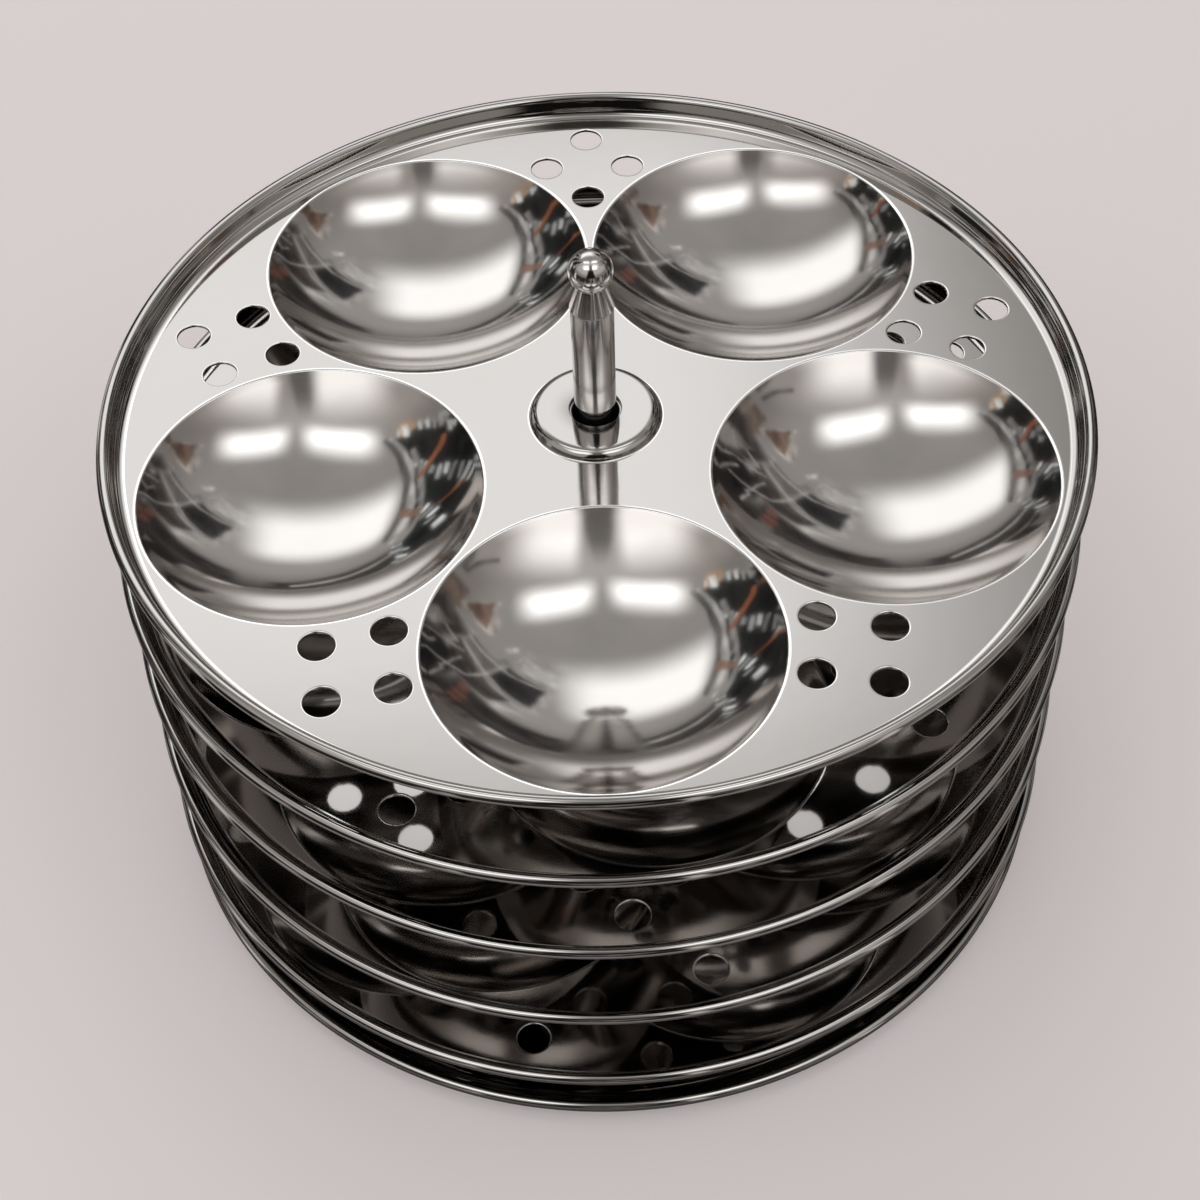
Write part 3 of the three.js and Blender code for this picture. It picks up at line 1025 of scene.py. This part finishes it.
def flag_ring():
    """A low dark screen all round, seen only in the steel, so that rims and tiers show it dark."""
    steps = ROD_STEPS
    mesh = bpy.data.meshes.new("flag_ring")
    corners = [
        (reach * math.cos(TURN * i / steps), reach * math.sin(TURN * i / steps), level)
        for reach, level in FLAG_EDGES for i in range(steps)
    ]
    faces = [(i, steps + i, steps + (i + 1) % steps, (i + 1) % steps) for i in range(steps)]
    mesh.from_pydata(corners, [], faces)
    material, graph = new_material("flag_cloth")
    x, y, z = graph.parts(graph.place())
    reach = graph.distance(x, y)
    folds = graph.noise(graph.vector(x / reach * 3.2, y / reach * 3.2, z * 2.0), 1.0, 4.0, 0.6)
    gap = graph.noise(graph.vector(x / reach * 5.0, y / reach * 5.0, z * 2.0), 1.0, 1.0, 0.5)
    light = graph.blend(0.50, 0.66, folds) * 0.22 + graph.blend(0.54, 0.68, gap) * 0.75
    cloth = graph.mix(folds, (0.040, 0.033, 0.028, 1), (0.022, 0.021, 0.022, 1))
    shade = graph.mix(light, cloth, (1.0, 0.93, 0.87, 1))
    glow = graph.node("ShaderNodeEmission", {"Color": shade})
    graph.show(glow)
    material.cycles.emission_sampling = "NONE"
    stage_piece("flag_ring", mesh, material, STEEL_ONLY)


# Name, corners in X and Y, strength, and how much of each side fades, across and along.
SOFTBOXES = (
    ("softbox_back", ((-0.98, 0.38), (0.46, 0.38), (0.46, 1.85), (-0.98, 1.85)), 1.35,
     ((0.16, 0.30), (0.30, 0.45))),
    ("softbox_front_left", ((-1.1, -1.0), (-0.08, -1.0), (-0.08, -0.2), (-1.0, -0.12)), 1.9,
     ((0.55, 0.16), (0.24, 0.5))),
    ("softbox_front_right", ((0.10, -1.0), (1.05, -1.0), (0.95, -0.1), (0.10, -0.2)), 1.9,
     ((0.16, 0.60), (0.24, 0.5))),
    ("softbox_top_left", ((-0.74, -0.14), (0.01, -0.30), (0.01, 0.04), (-0.74, 0.27)), 2.0,
     ((0.40, 0.24), (0.46, 0.62))),
    ("softbox_top_right", ((-0.01, -0.30), (0.70, -0.12), (0.70, 0.29), (-0.01, 0.04)), 2.0,
     ((0.24, 0.40), (0.46, 0.62))),
)

# Things that stand round the studio, each as corners of azimuth and elevation in degrees, the width
# of its soft edge in degrees, a colour and a level. The later ones stand before the earlier ones.
# Azimuth 0 is towards the camera and 90 is to the right.
PANELS = (
    # High on the right
    (((134, 52), (160, 56), (158, 30), (150, 18)), 6.0, (1.0, 0.97, 0.94), 0.45),
    (((128, 51.5), (131, 50), (130, 46.5), (127, 47)), 1.6, (1.0, 0.97, 0.97), 0.62),
    (((72, 46), (74, 47), (89, 36), (87.5, 34.5)), 0.8, (1.0, 0.95, 0.92), 0.13),
    (((92, 33), (97, 38), (108, 34), (101, 27)), 1.4, (1.0, 0.80, 0.66), 0.22),
    (((97.5, 52), (116, 48.5), (119, 44), (103, 35)), 1.0, (1.0, 0.92, 0.87), 0.50),
    (((99.5, 49.5), (111.5, 46), (115.5, 43.5), (103.5, 37)), 1.0, (1.0, 0.66, 0.52), 0.19),
    # Dark panels with pale edges behind them
    (((132, 47), (137, 45), (157, 46), (159, 29), (133, 28.5)), 1.0, (1.0, 0.96, 0.94), 0.34),
    (((137.5, 43), (155.5, 44), (156.5, 31.8), (137, 31.5)), 1.2, (1.0, 0.98, 1.0), 0.030),
    (((119, 38), (134.5, 41.5), (135, 33), (121, 34)), 0.8, (1.0, 0.95, 0.92), 0.17),
    (((120, 32), (150, 29), (147, 22.5), (128, 20)), 1.4, (1.0, 0.88, 0.80), 0.065),
    # Low on the right
    (((100, 30), (119, 36.5), (122, 8), (98, 4)), 2.4, (1.0, 0.90, 0.84), 0.075),
    (((108, 24), (114, 30), (117, 17), (112, 12)), 1.2, (1.0, 0.95, 0.92), 0.30),
    (((119, 24), (134, 24), (138, 3), (121, 3)), 1.4, (1.0, 0.98, 1.0), 0.022),
    (((137, 21), (170, 19), (176, 2), (139, 2)), 2.4, (1.0, 0.92, 0.88), 0.05),
    (((139, 20), (142, 21), (147, 7), (144, 6)), 0.9, (1.0, 0.52, 0.42), 0.15),
    # On the left, the warm ones first
    (((-93.5, 52), (-87, 50), (-85, 45), (-89, 41), (-93, 43)), 1.4, (1.0, 0.72, 0.50), 0.52),
    (((-100, 52.5), (-95, 54), (-93, 50), (-97, 49)), 1.0, (1.0, 0.55, 0.38), 0.36),
    (((-180, 17), (-140, 22), (-128, 3), (-180, 3)), 2.4, (1.0, 0.88, 0.80), 0.050),
    (((-176, 15), (-143, 19), (-143, 17.6), (-176, 13.4)), 0.5, (1.0, 0.98, 0.96), 0.42),
    (((-172, 9), (-145, 13), (-145, 11.8), (-172, 7.6)), 0.5, (1.0, 0.98, 0.96), 0.26),
)
NEAR_PANELS = (
    # Ribs along the top of the slats
    (((-150, 27), (-149, 29.5), (-120, 45), (-92, 57), (-91, 55), (-120, 42.5)), 0.7,
     (1.0, 0.96, 0.94), 0.10),
    (((-150, 23.5), (-149, 26), (-120, 41.5), (-92, 54.2), (-91, 52.4), (-120, 39.2)), 0.7,
     (1.0, 0.98, 0.96), 0.55),
    (((-150, 19), (-149, 21), (-124, 35.5), (-104, 45), (-103, 43), (-124, 33)), 0.7,
     (1.0, 0.98, 0.96), 0.30),
    # Warm strips
    (((-139, 34), (-135, 36), (-134, 27), (-137, 27)), 0.9, (1.0, 0.62, 0.48), 0.24),
    (((-120.5, 38.5), (-119.5, 36), (-102.5, 29), (-102, 31.5)), 0.5, (1.0, 0.40, 0.22), 0.27),
    (((-134.5, 23), (-132.5, 20.5), (-126, 14), (-125.5, 16.5)), 0.5, (1.0, 0.40, 0.22), 0.28),
)
THIN_STRIPS = (
    ((118.0, 36.4), (155.5, 43.6)), ((120.0, 33.2), (157.0, 31.0)), ((135.4, 50.0), (136.9, 24.5)),
    ((136.9, 24.5), (127.0, 14.0)), ((125.5, 30.0), (119.5, 20.0)), ((119.5, 20.0), (122.0, 8.0)),
    ((122.0, 30.0), (111.0, 25.5)), ((106.0, 33.5), (117.5, 38.5)), ((129.0, 27.0), (133.0, 15.0)),
    ((133.5, 16.0), (139.0, 5.0)), ((104.0, 22.0), (113.0, 17.0)), ((123.5, 20.0), (127.0, 9.0)),
)
PANEL_REACH = 3.7
BEND_SHIFT = Vector((9.3, 1.5, 7.9))  # from the noise that bends X to the noise that bends Y


def panel_way(spot):
    """The direction of a spot given as azimuth and elevation in degrees."""
    turn, lift = math.radians(spot[0]), math.radians(spot[1])
    level = math.cos(lift)
    return Vector((math.sin(turn) * level, -math.cos(turn) * level, math.sin(lift)))


def slat_panels():
    """Broken slats on the left, between rails that run down from a point over them."""
    chance = random.Random(7)
    back = (((-94, 54), (-92, 40), (-101, 24), (-118, 6), (-149, 4), (-149, 20), (-125, 40)), 0.9)
    panels = [(*back, (0.95, 1.0, 1.0), 0.022)]

    def corner(rail, far):
        depth = far * math.sin(math.radians(rail)) - 0.18
        rise = 2.42 - far * math.cos(math.radians(rail))
        lift = math.atan2(rise, math.hypot(1, depth))
        return math.degrees(math.atan2(-1, -depth)), math.degrees(lift)

    for rail in (5.2, 17.5, 30.0, 42.0):
        for row in range(26):
            start = rail + 0.8 + chance.uniform(0, 2.5)
            end = rail + 6.4 + chance.uniform(-1.5, 1.6)
            near = 1.15 + row * 0.082 + chance.uniform(-0.012, 0.012)
            deep = chance.uniform(0.034, 0.058)
            tilt = chance.uniform(-0.02, 0.03)
            if near * math.cos(math.radians(rail + 4)) > 2.28 or chance.random() < 0.08:
                continue
            outline = (corner(start, near), corner(end, near + tilt),
                       corner(end, near + tilt + deep), corner(start, near + deep))
            if min(spot[1] for spot in outline) > 51 - 0.57 * (abs(outline[0][0]) - 94):
                continue
            panels.append((outline, 0.35, (0.96, 1.0, 1.0), chance.uniform(0.25, 1.0)))
    return panels


def studio_panels():
    """All things round the studio as one mesh, seen in the steel but not by the camera."""
    strips = []
    for (from_x, from_y), (to_x, to_y) in THIN_STRIPS:
        far = math.hypot(to_x - from_x, to_y - from_y)
        aside_x, aside_y = (to_y - from_y) / far * 0.4, (from_x - to_x) / far * 0.4
        outline = (
            (from_x + aside_x, from_y + aside_y), (from_x - aside_x, from_y - aside_y),
            (to_x - aside_x, to_y - aside_y), (to_x + aside_x, to_y + aside_y),
        )
        strips.append((outline, 0.4, (1.0, 0.95, 0.92), 0.40))
    base = Vector((0, 0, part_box("idli_plate_1")[1][2]))
    places, tones, faces = [], [], []
    reach = PANEL_REACH
    for outline, edge, colour, level in (*PANELS, *strips, *slat_panels(), *NEAR_PANELS):
        reach -= 0.03 if edge > 0.35 else 0.001
        loop = []
        for (from_x, from_y), (to_x, to_y) in zip(outline, outline[1:] + outline[:1]):
            steps = max(1, round(math.hypot(to_x - from_x, to_y - from_y) / 4))
            for step in range(steps):
                spot = Vector((from_x, from_y)).lerp(Vector((to_x, to_y)), step / steps)
                at = Vector((spot.x, spot.y, 0.0)) * 0.11
                bend = Vector((noise.noise(at), noise.noise(at + BEND_SHIFT)))
                loop.append(spot + bend * 1.3)
        middle = sum(loop, Vector((0, 0))) / len(loop)
        count, first = len(loop), len(places) + 1
        spots = [middle, *(middle + (spot - middle) * 0.5 for spot in loop)]
        for side in (-1, 1):
            for spot in loop:
                outward = spot - middle
                soft = min(edge, outward.length * 0.45)
                spots.append(spot + outward.normalized() * soft * side)
        places += [base + panel_way(spot) * reach for spot in spots]
        tone = tuple(level * part for part in colour)
        tones += [(*tone, 1.0)] * (1 + 2 * count) + [(*tone, 0.0)] * count
        for i in range(count):
            j = (i + 1) % count
            faces.append((first - 1, first + i, first + j))
            for ring in (first, first + count):
                faces.append((ring + i, ring + j, ring + count + j, ring + count + i))
    mesh = bpy.data.meshes.new("studio_panels")
    mesh.from_pydata(places, [], faces)
    tone = mesh.color_attributes.new("tone", "FLOAT_COLOR", "POINT")
    tone.data.foreach_set("color", [part for entry in tones for part in entry])

    material, graph = new_material("panel_tones")
    painted = graph.node("ShaderNodeAttribute", settings={"attribute_name": "tone"}, output="Color")
    place = graph.place()
    stretch = graph.node("ShaderNodeMapping", {"Vector": place, "Scale": (1.0, 1.0, 4.0)})
    streaks = graph.noise(stretch, 1.3, 4.0, 0.6)
    shade = graph.scale(painted, graph.blend(0.25, 0.75, streaks, 0.4, 1.6))
    light = graph.node("ShaderNodeEmission", {"Color": shade})
    nothing = graph.node("ShaderNodeBsdfTransparent")
    soft = graph.blend(0.0, 1.0, painted.output("Alpha"))
    whole = graph.node("ShaderNodeMixShader", {0: soft, 1: nothing, 2: light})
    graph.show(whole)
    material.cycles.emission_sampling = "NONE"
    stage_piece("studio_panels", mesh, material, STEEL_ONLY)


def studio_world():
    """A grey room, dark near the floor, with a dark upright in front."""
    world = bpy.data.worlds.new("studio")
    world.use_nodes = True
    world.node_tree.nodes.clear()
    graph = Graph(world.node_tree)
    way = graph.place("Generated")
    x, y, z = graph.parts(way)
    azimuth = graph.maths("ARCTAN2", x, -y) * math.degrees(1)
    elevation = graph.maths("ARCSINE", z) * math.degrees(1)
    cloud = graph.noise(way, 1.6, 3.0, 0.5)
    glow = graph.blend(0.0, -0.3, y / graph.maths("MAXIMUM", z, 0.1)) * 0.2
    level = graph.blend(7, 27, elevation, 0.045, 0.36) * (0.7 + cloud * 0.6) + glow
    room = graph.mix(cloud, (1.0, 0.97, 0.95, 1), (0.94, 0.88, 0.83, 1))
    # The upright is wider and darker towards its foot.
    half = 23 - elevation * 0.2
    upright = graph.blend(half + 4, half - 4, graph.maths("ABSOLUTE", azimuth))
    upright = upright * graph.blend(76, 62, elevation)
    level = level + (graph.blend(34, 56, elevation, 0.012, 0.22) - level) * upright
    rays = graph.node("ShaderNodeLightPath")
    sky = graph.node("ShaderNodeBackground", {"Color": graph.scale(room, level)})
    paint = bpy.context.scene.steamer_finish.floor_colour
    backdrop = graph.node("ShaderNodeBackground", {"Color": (*paint, 1), "Strength": 0.6})
    whole = graph.node(
        "ShaderNodeMixShader", {0: rays.output("Is Camera Ray"), 1: sky, 2: backdrop}
    )
    graph.node("ShaderNodeOutputWorld", {"Surface": whole})
    return world


class STEAMER_OT_stage(bpy.types.Operator):
    """Sets up the floor, the softboxes and the camera"""

    bl_idname = "steamer.stage"
    bl_label = "Studio Stage"

    def execute(self, context):
        scene = context.scene
        scene.view_settings.view_transform = "Standard"
        aim_camera()

        mesh = bpy.data.meshes.new("studio_floor")
        signs = ((-1, -1), (1, -1), (1, 1), (-1, 1))
        corners = [(x * FLOOR_REACH, y * FLOOR_REACH, FLOOR_LEVEL) for x, y in signs]
        mesh.from_pydata(corners, [], [(0, 1, 2, 3)])
        material, graph = new_material("floor_paint")
        paint = (*scene.steamer_finish.floor_colour, 1)
        rays = graph.node("ShaderNodeLightPath")
        seen = graph.maths(
            "MINIMUM",
            rays.output("Is Camera Ray") + rays.output("Is Glossy Ray")
            + rays.output("Is Transmission Ray"), 1.0,
        )
        matt = graph.node("ShaderNodeBsdfDiffuse", {"Color": paint})
        glow = graph.node("ShaderNodeEmission", {"Color": paint, "Strength": seen * 0.27})
        lit = graph.node("ShaderNodeAddShader", {0: matt, 1: glow})
        # In the steel the floor is a plain glow, with a painted shadow round the stand's foot.
        x, y, _ = graph.parts(graph.place())
        painted_shadow_glow = graph.blend(0.06, 0.30, graph.distance(x, y), 0.03, 0.50)
        mirrored = graph.node("ShaderNodeEmission", {"Color": graph.scale(paint[:3], painted_shadow_glow)})
        whole = graph.node(
            "ShaderNodeMixShader", {0: rays.output("Is Glossy Ray"), 1: lit, 2: mirrored}
        )
        graph.show(whole)
        stage_piece("studio_floor", mesh, material)

        for name, corners, strength, feather in SOFTBOXES:
            softbox(name, corners, strength, feather)
        flag_ring()
        studio_panels()
        scene.world = studio_world()
        return {"FINISHED"}


# Panel and registration

OPERATORS = (
    STEAMER_OT_stage,
    STEAMER_OT_plates,
    STEAMER_OT_tray,
    STEAMER_OT_tubes,
    STEAMER_OT_rod,
    STEAMER_OT_handle,
    STEAMER_OT_fastening,
)


class STEAMER_PT_panel(bpy.types.Panel):
    """Lists the stand's pieces and their sizes"""

    bl_idname = "STEAMER_PT_panel"
    bl_label = "Idli Steamer"
    bl_space_type = "VIEW_3D"
    bl_region_type = "UI"
    bl_category = "Idli Steamer"

    def draw(self, context):
        for operator in OPERATORS:
            self.layout.operator(operator.bl_idname)
        for group in (
            context.scene.idli_plates, context.scene.steamer_stand, context.scene.steamer_finish
        ):
            box = self.layout.box()
            for name in group.__annotations__:
                box.prop(group, name)


CLASSES = (SteamerPlateSizes, SteamerStandSizes, SteamerFinish, *OPERATORS, STEAMER_PT_panel)


def register():
    for cls in CLASSES:
        bpy.utils.register_class(cls)
    scene = bpy.types.Scene
    scene.idli_plates = bpy.props.PointerProperty(type=SteamerPlateSizes)
    scene.steamer_stand = bpy.props.PointerProperty(type=SteamerStandSizes)
    scene.steamer_finish = bpy.props.PointerProperty(type=SteamerFinish)


def unregister():
    for name in ("idli_plates", "steamer_stand", "steamer_finish"):
        delattr(bpy.types.Scene, name)
    for cls in reversed(CLASSES):
        bpy.utils.unregister_class(cls)


def main():
    register()
    bpy.ops.steamer.stage()
    bpy.ops.steamer.plates()
    bpy.ops.steamer.tray()
    bpy.ops.steamer.tubes()
    bpy.ops.steamer.rod()
    bpy.ops.steamer.handle()
    bpy.ops.steamer.fastening()


if __name__ == "__main__":
    main()
